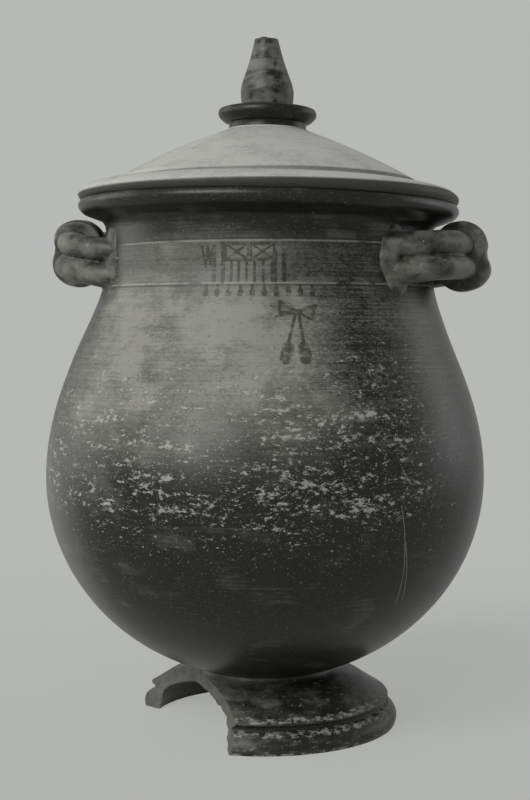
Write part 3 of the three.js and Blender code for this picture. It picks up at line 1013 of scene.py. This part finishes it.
class POT_OT_foot(bpy.types.Operator):
    """Makes the hollow foot and breaks the lost sector out of it"""
    bl_idname = "pot.foot"
    bl_label = "Foot"

    def execute(self, context):
        colours = context.scene.pot_colours
        piece = turned("pot_foot", foot_outline(context.scene.pot_sizes), FOOT_SIDES)
        thrown(piece, FOOT_RINGS)
        face_out(piece)
        for vertex in piece.data.vertices:
            vertex.co.z = max(vertex.co.z, 0)
        piece.data.materials.append(foot_finish(colours))
        block = broken_sector()
        face_out(block)
        block.data.materials.append(fracture_finish(colours))
        cut = piece.modifiers.new("break", "BOOLEAN")
        cut.operation = "DIFFERENCE"
        cut.solver = "EXACT"
        cut.material_mode = "TRANSFER"
        cut.object = block
        applied(piece)
        bpy.data.objects.remove(block)
        piece.data.set_sharp_from_angle(angle=math.radians(BREAK_SHARP_ANGLE))
        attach(piece, "pot")
        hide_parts("foot")
        return {"FINISHED"}


# Handles as (name, turn about the pot and twist in degrees, reach from the axis, seed)
HANDLES = (("right", 0, 0, 126.5 * MM, 3.0), ("left", 180, -4, 131.5 * MM, 8.0))
HANDLE_TILT = math.radians(7)
HANDLE_SQUARENESS = 2.6
ROLL_START = 86 * MM
ROLL_SAG = 0.5 * MM
ROLL_GAP = 0.1 * MM


class Handle:
    """Place of one handle: its turn about the pot, its twist and how far it reaches"""

    def __init__(self, sizes, turn, twist, reach):
        self.sizes = sizes
        self.reach = reach
        neck = Matrix.Translation((sizes.neck_radius, 0, 0))
        lift = Matrix.Translation((sizes.neck_radius, 0, sizes.handle_height))
        tilt = Matrix.Rotation(-HANDLE_TILT, 4, "Y") @ Matrix.Rotation(math.radians(twist), 4, "X")
        self.place = Matrix.Rotation(math.radians(turn), 4, "Z") @ lift @ tilt @ neck.inverted()

    def centre(self, t, level):
        """Middle of a roll, t from 0 at one root to 1 at the other"""
        angle = (t - 0.5) * math.pi
        power = 2 / HANDLE_SQUARENESS
        out = max(math.cos(angle), 0) ** power
        along = math.copysign(abs(math.sin(angle)) ** power, angle)
        sag = ROLL_SAG * math.sin(math.pi * t)
        lift = level * (self.sizes.roll_height / 2 + ROLL_GAP - sag)
        return Vector((ROLL_START + (self.reach - ROLL_START) * out, self.sizes.handle_spread * along, lift))


ROLL_SIDES = 28
ROLL_STEPS = 90
ROLL_LOOK = 0.01
ROLL_SWELL = 0.045
ROLL_SWELLS = 7
ROOT_SWELL = 0.06
ROOT_SWELL_POWER = 10
ROLL_DENT = 0.03
ROLL_DENTS = 12
ROLL_DENTS_ROUND = 1.5
UPWARDS = Vector((0, 0, 1))


def roll(handle, level, seed):
    """One hand-rolled coil of clay, bent from root to root"""
    s = handle.sizes
    vertices = []
    for i in range(ROLL_STEPS + 1):
        t = i / ROLL_STEPS
        middle = handle.centre(t, level)
        ahead = handle.centre(min(t + ROLL_LOOK, 1), level) - handle.centre(max(t - ROLL_LOOK, 0), level)
        across = Vector((ahead.y, -ahead.x, 0)).normalized()
        swell = 1 + ROLL_SWELL * noise.noise(Vector((t * ROLL_SWELLS, seed, level)))
        swell += ROOT_SWELL * (2 * abs(t - 0.5)) ** ROOT_SWELL_POWER
        for k in range(ROLL_SIDES):
            angle = 2 * math.pi * k / ROLL_SIDES
            spot = Vector((t * ROLL_DENTS, math.cos(angle) * ROLL_DENTS_ROUND,
                           seed + math.sin(angle) * ROLL_DENTS_ROUND))
            dent = 1 + ROLL_DENT * noise.noise(spot)
            side = across * math.cos(angle) * s.roll_thickness / 2
            up = UPWARDS * math.sin(angle) * s.roll_height / 2
            vertices.append(handle.place @ (middle + (side + up) * swell * dent))
    return closed_tube("roll", vertices, ROLL_SIDES)


PAD_STEPS = 40
PAD_SIDES = 48
PAD_HALVES = (5.5 * MM, 13 * MM, 25 * MM)
PAD_SUNK = 1 * MM
PAD_UNEVEN = 0.16
PAD_UNEVEN_RATE = 120


def pad(handle, side, seed):
    """Clay smeared over a root and out on to the neck"""
    piece = turned("pad", run(arc((0, 0), (1, 1), -90, 90, PAD_STEPS)), PAD_SIDES)
    s = handle.sizes
    root = Matrix.Rotation(math.asin(s.handle_spread / s.neck_radius) * side, 4, "Z")
    place = handle.place @ root @ Matrix.Translation((s.neck_radius - PAD_SUNK, 0, 0))
    for vertex in piece.data.vertices:
        spot = Vector([part * half for part, half in zip(vertex.co, PAD_HALVES)])
        spot *= 1 + PAD_UNEVEN * noise.noise(spot * PAD_UNEVEN_RATE + Vector((seed, 0, 0)))
        vertex.co = place @ spot
    return piece


def joined(name, pieces):
    """Several closed meshes in one"""
    shape = bmesh.new()
    for piece in pieces:
        shape.from_mesh(piece.data)
        bpy.data.objects.remove(piece)
    mesh = bpy.data.meshes.new(name)
    bmesh.ops.recalc_face_normals(shape, faces=shape.faces)
    shape.to_mesh(mesh)
    shape.free()
    whole = bpy.data.objects.new(name, mesh)
    bpy.context.scene.collection.objects.link(whole)
    return whole


ROLLS_KNEADING = (0.75 * MM, 3)
TIE_KNEADING = (0.7 * MM, 4)
KNEADING_PRESSURE = 0.5


def kneaded(piece, voxel, passes):
    """Pieces of clay pressed into one skin, with soft joints between them"""
    skin = piece.modifiers.new("skin", "REMESH")
    skin.mode = "VOXEL"
    skin.voxel_size = voxel
    soft = piece.modifiers.new("soft", "SMOOTH")
    soft.iterations = passes
    soft.factor = KNEADING_PRESSURE
    return applied(piece)


TIE_OVER_ROLL = (8.4 * MM, 7 * MM)
TIE_WAIST = 22
TIE_LOBE_STEPS = 40
TIE_ROWS = 16
TIE_ROUND = 3.4 * MM
TIE_ROUND_POWER = 3.2
TIE_WOBBLE = 0.5 * MM
TIE_WOBBLE_RATES = (2, 90)


def tie(handle, seed):
    """Band of clay round both rolls, drawn in between them"""
    s = handle.sizes
    lobe = s.roll_height / 2
    radii = (s.roll_thickness / 2 + TIE_OVER_ROLL[0], lobe + TIE_OVER_ROLL[1])
    sweep = 180 + 2 * TIE_WAIST
    outline = []
    for middle, start in ((lobe, -TIE_WAIST), (-lobe, 180 - TIE_WAIST)):
        outline += [(x, z, middle) for x, z in arc((0, 0), (1, 1), start, start + sweep, TIE_LOBE_STEPS)]
    around, along = TIE_WOBBLE_RATES
    vertices = []
    for row in range(TIE_ROWS + 1):
        share = -1 + 2 * row / TIE_ROWS
        y = s.tie_width / 2 * math.sin(share * math.pi / 2)
        inset = TIE_ROUND * (1 - (1 - abs(share) ** TIE_ROUND_POWER) ** 0.5)
        for x, z, middle in outline:
            wobble = TIE_WOBBLE * noise.noise(Vector((x * around, y * along, z * around + seed)))
            spot = Vector((handle.reach + x * (radii[0] - inset + wobble), y,
                           middle + z * (radii[1] - inset + wobble)))
            vertices.append(handle.place @ spot)
    return closed_tube("tie", vertices, len(outline))


class POT_OT_handles(bpy.types.Operator):
    """Makes both tied double-roll handles"""
    bl_idname = "pot.handles"
    bl_label = "Handles"

    def execute(self, context):
        glaze = luted_finish(context.scene.pot_colours)
        for name, turn, twist, reach, seed in HANDLES:
            handle = Handle(context.scene.pot_sizes, turn, twist, reach)
            clay = [roll(handle, 1, seed), roll(handle, -1, seed + 2)]
            clay += [pad(handle, 1, seed), pad(handle, -1, seed + 5)]
            rolls = kneaded(joined(f"{name}_handle_rolls", clay), *ROLLS_KNEADING)
            settle(rolls)
            face_out(rolls, CLAY_SHARP_ANGLE)
            parts = ("upper_roll", "lower_roll", "front_root_pad", "rear_root_pad")
            dressed(rolls, "pot", [f"{name}_{part}" for part in parts], glaze)
            band = kneaded(joined(f"{name}_handle_tie", [tie(handle, seed)]), *TIE_KNEADING)
            settle(band)
            face_out(band, CLAY_SHARP_ANGLE)
            dressed(band, "pot", [f"{name}_tie_band"], glaze)
        return {"FINISHED"}


LID_SIDES = 240
LID_SEAT_GAP = 0.3 * MM
BRIM_THICKNESS = 8.8 * MM
FLANGE_GAP = 2 * MM
FLANGE_WALL = 6.5 * MM
FLANGE_DEPTH = 10 * MM
FLANGE_ROUND = 1.5 * MM
FLANGE_TAPER = 0.4 * MM
FLANGE_TIP = 2 * MM
DOME_TOP = 27 * MM
DOME_CROWN = 26 * MM
DOME_EDGE = 1 * MM
DOME_SWELL = (3.6 * MM, 1.8 * MM)
DOME_WALL = 8 * MM
DOME_WALL_BEND = 9.5 * MM
DOME_INNER = 25.4 * MM
DOME_INNER_SLOPE = 0.5
DOME_STEP = (1 * MM, -2.6 * MM)
DOME_STEP_RISE = 0.4 * MM
BRIM_FLAT = 3 * MM
BRIM_BULGE = (2.1 * MM, 4.8 * MM)
BRIM_SHOULDER = 6 * MM
BRIM_RISE = 3.2 * MM


def lid_underside(s, seat):
    """From the axis under the dome, down and round the flange and out under the brim"""
    flange = s.neck_radius - s.wall - FLANGE_GAP
    inner = flange - FLANGE_WALL
    low = seat - FLANGE_DEPTH
    crown = (DOME_INNER, LID_HIGH.z - DOME_WALL)
    swell = dome_swell(s)
    spring = (inner, s.dome_foot - DOME_WALL + (s.dome_radius - inner) * DOME_INNER_SLOPE)
    tip = flange - FLANGE_TAPER
    return run(
        straight((0, crown[1]), crown, 5),
        bend([crown, (swell[0], swell[1] - DOME_WALL_BEND), spring], 24),
        straight(spring, (inner, low + FLANGE_ROUND), 6),
        bend([(inner, low + FLANGE_ROUND), (inner, low), (inner + FLANGE_ROUND, low)], 4),
        bend([(flange - FLANGE_TIP, low), (tip, low), (tip, low + FLANGE_TIP)], 4),
        straight((tip, low + FLANGE_TIP), (flange, seat), 4),
        straight((flange, seat), (s.brim_radius - BRIM_FLAT, seat), 10),
    )


def dome_swell(s):
    """Where the dome's curve is drawn out to"""
    return ((s.dome_radius + DOME_TOP) / 2 + DOME_SWELL[0],
            (s.dome_foot + LID_HIGH.z - DOME_EDGE) / 2 + DOME_SWELL[1])


def lid_upside(s, seat):
    """Round the brim, up the step and over the dome to the axis"""
    brim = s.brim_radius
    brim_top = seat + BRIM_THICKNESS
    step = (s.dome_radius + DOME_STEP[0], s.dome_foot + DOME_STEP[1])
    foot = (s.dome_radius, s.dome_foot)
    top = (DOME_TOP, LID_HIGH.z - DOME_EDGE)
    return run(
        bend([(brim - BRIM_FLAT, seat), (brim + BRIM_BULGE[0], seat + BRIM_BULGE[1]),
              (brim - BRIM_SHOULDER, brim_top)], 20),
        bend([(brim - BRIM_SHOULDER, brim_top), ((brim + s.dome_radius) / 2, brim_top + BRIM_RISE),
              step], 16),
        bend([step, (s.dome_radius, step[1] + DOME_STEP_RISE), foot], 5),
        bend([foot, dome_swell(s), top], 60),
        straight(top, (DOME_CROWN, LID_HIGH.z), 2),
        straight((DOME_CROWN, LID_HIGH.z), (0, LID_HIGH.z), 6),
    )


class POT_OT_lid(bpy.types.Operator):
    """Makes the domed lid with its brim and flange"""
    bl_idname = "pot.lid"
    bl_label = "Lid"

    def execute(self, context):
        s = context.scene.pot_sizes
        seat = s.rim_top + LID_SEAT_GAP
        piece = turned("pot_lid", run(lid_underside(s, seat), lid_upside(s, seat)), LID_SIDES)
        thrown(piece, LID_RINGS)
        settle(piece)
        face_out(piece)
        dressed(piece, "lid", ["lid"], lid_finish(context.scene.pot_colours))
        return {"FINISHED"}


# Knob in millimetres: points of its disc as (offset from the collar or the disc's edge, height)
DISC_SIDES = 128
COLLAR = 25.4
COLLAR_SIDE = ((0, 0), (-0.4, 2), (0, 3.4))
DISC_UNDER = ((-4, 3.6), (-1.4, 6.4))
DISC_EDGE = ((-1.4, 6.4), (1.4, 9), (-0.8, 12.4))
DISC_UPPER = ((-0.8, 12.4), (-4, 14.1))
DISC_SEAT = 17.8
FINIAL_SIDES = 96
FINIAL_SUNK = 0.3
FINIAL_FOOT = ((16.4, 0), (17, 2), (17.4, 8))
FINIAL_SIDE = ((17.4, 8), (17.9, 15), (12.4, 23), (10.4, 32))
FINIAL_TIP = ((7.9, -1), (7.4, 0.3), (5.6, 0.2))
FINIAL_BREAK = 2.5
FINIAL_ROUGH = ((330, 0.9), (900, 0.4))


def knob_points(points, radius, height):
    """Points given in millimetres beside a radius and above a height"""
    return [beside((radius, height), (x * MM, z * MM)) for x, z in points]


def disc_outline():
    """Section of the knob's disc and its collar"""
    foot, top, collar = DISC_LOW.z, DISC_HIGH.z, COLLAR * MM
    side = knob_points(COLLAR_SIDE, collar, foot)
    under, edge, upper = [knob_points(points, DISC_HIGH.x, foot)
                          for points in (DISC_UNDER, DISC_EDGE, DISC_UPPER)]
    seat = (DISC_SEAT * MM, top)
    return run(straight((0, foot), side[0], 4), bend(side, 5), bend([side[-1], *under], 6), bend(edge, 14),
               bend([*upper, seat], 12), straight(seat, (0, top), 4))


def finial_outline(base, tip):
    """Section of the finial up to its broken tip"""
    crown = knob_points(FINIAL_TIP, 0, tip)
    side = run(bend(knob_points(FINIAL_FOOT, 0, base), 10),
               bend([*knob_points(FINIAL_SIDE, 0, base), crown[0]], 44))
    crown = bend([side[-1], *crown[1:]], 5)
    return run([(0, base)], straight((0, base), side[0], 4), side, crown, straight(crown[-1], (0, tip), 10))


class POT_OT_knob(bpy.types.Operator):
    """Makes the knob's disc and its broken finial"""
    bl_idname = "pot.knob"
    bl_label = "Knob"

    def execute(self, context):
        glaze = knob_finish(context.scene.pot_colours)
        piece = turned("knob_disc_piece", disc_outline(), DISC_SIDES)
        thrown(piece, DISC_RINGS)
        settle(piece)
        face_out(piece)
        dressed(piece, "lid", ["knob_disc"], glaze)
        base, tip = FINIAL_LOW.z - FINIAL_SUNK * MM, FINIAL_HIGH.z
        finial = turned("knob_finial_piece", finial_outline(base, tip), FINIAL_SIDES)
        thrown(finial, FINIAL_RINGS)
        for vertex in finial.data.vertices:
            share = held((vertex.co.z - tip + FINIAL_BREAK * MM) / (FINIAL_BREAK * MM))
            rough = sum(noise.noise(vertex.co * rate) * gain for rate, gain in FINIAL_ROUGH)
            vertex.co.z += share * rough * MM
        settle(finial)
        face_out(finial)
        dressed(finial, "lid", ["knob_finial"], glaze)
        return {"FINISHED"}


# Camera in metres and degrees, with its focal length in widths of the picture
CAMERA_DISTANCE = 0.9274
CAMERA_HEIGHT = 0.2617
CAMERA_PITCH = 3
CAMERA_NEAR = 0.02
FOCAL_WIDTHS = 1400 / 530
SENSOR = 36
# Lamps as (name, direction seen from the camera, strength, spread in degrees), and the even light
LAMPS = (("key_light", (-0.55, -0.7, 0.5), 2.5, 40),
         ("edge_light", (-0.95, 0.5, 0.08), 1.5, 60),
         ("right_edge_light", (0.95, 0.6, 0.06), 1.1, 60))
SKY = (0.95, 0.96, 1.0, 1)
SKY_STRENGTH = 0.3
# Floor and backdrop in metres
SHEET_FRONT = -2.0
SHEET_NEAR = -0.6
SHEET_DEPTH = 1.2
SHEET_WIDTH = 6.0
SHEET_BEND = 0.9
SHEET_TOP = 3.0
SHEET_STEPS = 24


def lamp(name, direction, strength, spread):
    """A soft lamp that shines from that direction"""
    light = bpy.data.lights.new(name, "SUN")
    light.energy = strength
    light.angle = math.radians(spread)
    holder = bpy.data.objects.new(name, light)
    aim = Matrix.Rotation(VIEW_TURN, 3, "Z") @ Vector(direction)
    holder.rotation_euler = aim.to_track_quat("Z", "Y").to_euler()
    bpy.context.scene.collection.objects.link(holder)


def sweep_sheet(name):
    """Floor that curves up into a backdrop behind the pot, turned to the view"""
    span = SHEET_DEPTH - SHEET_NEAR
    line = [(SHEET_FRONT, 0.0)]
    line += [(SHEET_NEAR + span * i / SHEET_STEPS, 0.0) for i in range(SHEET_STEPS + 1)]
    curve = arc((SHEET_DEPTH, SHEET_BEND), (SHEET_BEND, SHEET_BEND), -90, 0, SHEET_STEPS)
    line += curve[1:]
    line.append((SHEET_DEPTH + SHEET_BEND, SHEET_TOP))
    turn = Matrix.Rotation(VIEW_TURN, 3, "Z")
    columns = SHEET_STEPS + 1
    across = [-SHEET_WIDTH / 2 + SHEET_WIDTH * c / SHEET_STEPS for c in range(columns)]
    vertices = [turn @ Vector((x, y, z)) for y, z in line for x in across]
    faces = []
    for row in range(len(line) - 1):
        for a in range(row * columns, row * columns + SHEET_STEPS):
            faces.append([a, a + 1, a + columns + 1, a + columns])
    return new_object(name, vertices, faces)


def even_light():
    """World that lights the pot from all round"""
    world = bpy.data.worlds.new("even_light")
    world.use_nodes = True
    sky = world.node_tree.nodes["Background"]
    sky.inputs["Color"].default_value = SKY
    sky.inputs["Strength"].default_value = SKY_STRENGTH
    return world


def view_camera():
    """Camera at the height of the belly's top, looking a little down"""
    view = bpy.data.cameras.new("camera")
    view.sensor_fit = "HORIZONTAL"
    view.sensor_width = SENSOR
    view.lens = SENSOR * FOCAL_WIDTHS
    view.clip_start = CAMERA_NEAR
    camera = bpy.data.objects.new("camera", view)
    camera.location = (math.sin(VIEW_TURN) * CAMERA_DISTANCE, -math.cos(VIEW_TURN) * CAMERA_DISTANCE,
                       CAMERA_HEIGHT)
    camera.rotation_euler = (math.radians(90 - CAMERA_PITCH), 0, VIEW_TURN)
    return camera


class POT_OT_stage(bpy.types.Operator):
    """Makes the floor, the backdrop, the light and the camera"""
    bl_idname = "pot.stage"
    bl_label = "Stage"

    def execute(self, context):
        scene = context.scene
        floor = sweep_sheet("floor_and_backdrop")
        floor.data.polygons.foreach_set("use_smooth", [True] * len(floor.data.polygons))
        floor.data.materials.append(stage_finish(scene.pot_colours))
        scene.world = even_light()
        for values in LAMPS:
            lamp(*values)
        scene.camera = view_camera()
        scene.collection.objects.link(scene.camera)
        scene.view_settings.view_transform = "Standard"
        return {"FINISHED"}


OPERATORS = (POT_OT_body, POT_OT_foot, POT_OT_handles, POT_OT_lid, POT_OT_knob, POT_OT_stage)


class POT_PT_panel(bpy.types.Panel):
    """Lists the pieces of the pot"""
    bl_idname = "POT_PT_panel"
    bl_label = "Lidded pot"
    bl_space_type = "VIEW_3D"
    bl_region_type = "UI"
    bl_category = "Pot"

    def draw(self, context):
        for group in (context.scene.pot_sizes, context.scene.pot_colours):
            box = self.layout.box()
            for name in group.__annotations__:
                box.prop(group, name)
        for operator in OPERATORS:
            self.layout.operator(operator.bl_idname)


CLASSES = (PotSizes, PotColours, *OPERATORS, POT_PT_panel)


def register():
    """Makes the sizes, the colours and the operators known"""
    for cls in CLASSES:
        bpy.utils.register_class(cls)
    bpy.types.Scene.pot_sizes = bpy.props.PointerProperty(type=PotSizes)
    bpy.types.Scene.pot_colours = bpy.props.PointerProperty(type=PotColours)


def unregister():
    """Takes them away again"""
    del bpy.types.Scene.pot_colours
    del bpy.types.Scene.pot_sizes
    for cls in reversed(CLASSES):
        bpy.utils.unregister_class(cls)


def main():
    """Makes the pot and its stage"""
    register()
    bpy.ops.pot.body()
    bpy.ops.pot.foot()
    bpy.ops.pot.handles()
    bpy.ops.pot.lid()
    bpy.ops.pot.knob()
    bpy.ops.pot.stage()


if __name__ == "__main__":
    main()
